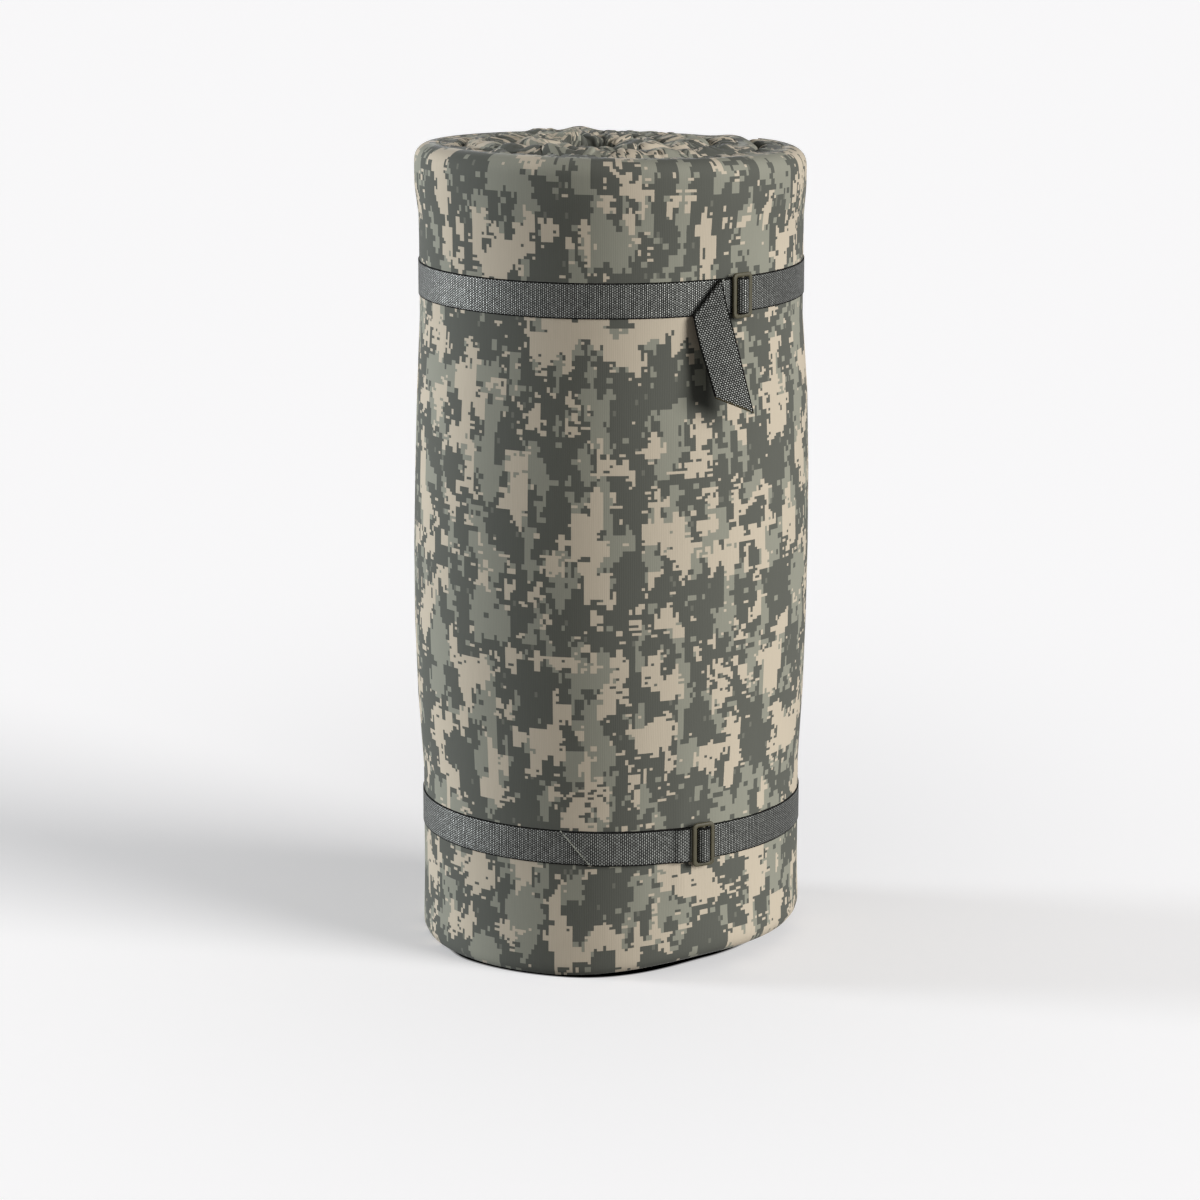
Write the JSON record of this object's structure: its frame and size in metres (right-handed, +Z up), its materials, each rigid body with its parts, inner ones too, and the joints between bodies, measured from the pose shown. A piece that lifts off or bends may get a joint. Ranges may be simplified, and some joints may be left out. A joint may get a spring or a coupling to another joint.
{
  "type": "rolled sleeping mat",
  "caption": "Foam sleeping mat in a digital-camouflage fabric cover, rolled up and held by webbing straps with metal slide buckles.",
  "frame": {"origin": "on the floor, under the centre of the roll's box", "axes": "+Z up, along the roll; -Y towards the viewer of the picture; +X to the viewer's right"},
  "size_m": [0.2764, 0.2622, 0.577],
  "materials": {
    "foam": "matte",
    "outer_fabric": "matte",
    "inner_fabric": "matte",
    "webbing": "matte",
    "paint": "satin"
  },
  "bodies": {
    "roll": {"foam_core": "foam", "cover_outer_panel": "outer_fabric", "cover_inner_panel": "inner_fabric"},
    "top_strap_body": {"top_strap": "webbing", "top_tail_crease": "webbing"},
    "top_buckle_body": {"top_slide_buckle": "paint"},
    "top_tail_body": {"top_tail": "webbing"},
    "bottom_strap_body": {"bottom_strap": "webbing"},
    "bottom_buckle_body": {"bottom_slide_buckle": "paint"},
    "bottom_tail_body": {"bottom_tail": "webbing"}
  },
  "joints": [
    {"name": "top_strap_slide", "type": "slide", "parent": "roll", "child": "top_strap_body", "axis": [0, 0, 1], "range_m": [-0.02, 0.025]},
    {"name": "top_buckle_tilt", "type": "hinge", "parent": "top_strap_body", "child": "top_buckle_body", "pos_m": [0.09041, -0.09923, 0.4858], "axis": [0, 0, 1], "range_deg": [0, 15]},
    {"name": "top_tail_fold", "type": "hinge", "parent": "top_strap_body", "child": "top_tail_body", "pos_m": [0.06727, -0.11389, 0.4858], "axis": [-0.5837, -0.3137, -0.749], "range_deg": [0, 100], "deforming": ["top_tail_crease"]},
    {"name": "bottom_strap_slide", "type": "slide", "parent": "roll", "child": "bottom_strap_body", "axis": [0, 0, 1], "range_m": [-0.03, 0.02]},
    {"name": "bottom_buckle_tilt", "type": "hinge", "parent": "bottom_strap_body", "child": "bottom_buckle_body", "pos_m": [0.06518, -0.11643, 0.0958], "axis": [0, 0, 1], "range_deg": [0, 15]},
    {"name": "bottom_tail_lift", "type": "hinge", "parent": "bottom_strap_body", "child": "bottom_tail_body", "pos_m": [0.05599, -0.11961, 0.0958], "axis": [0, 0, 1], "range_deg": [0, 75]}
  ]
}
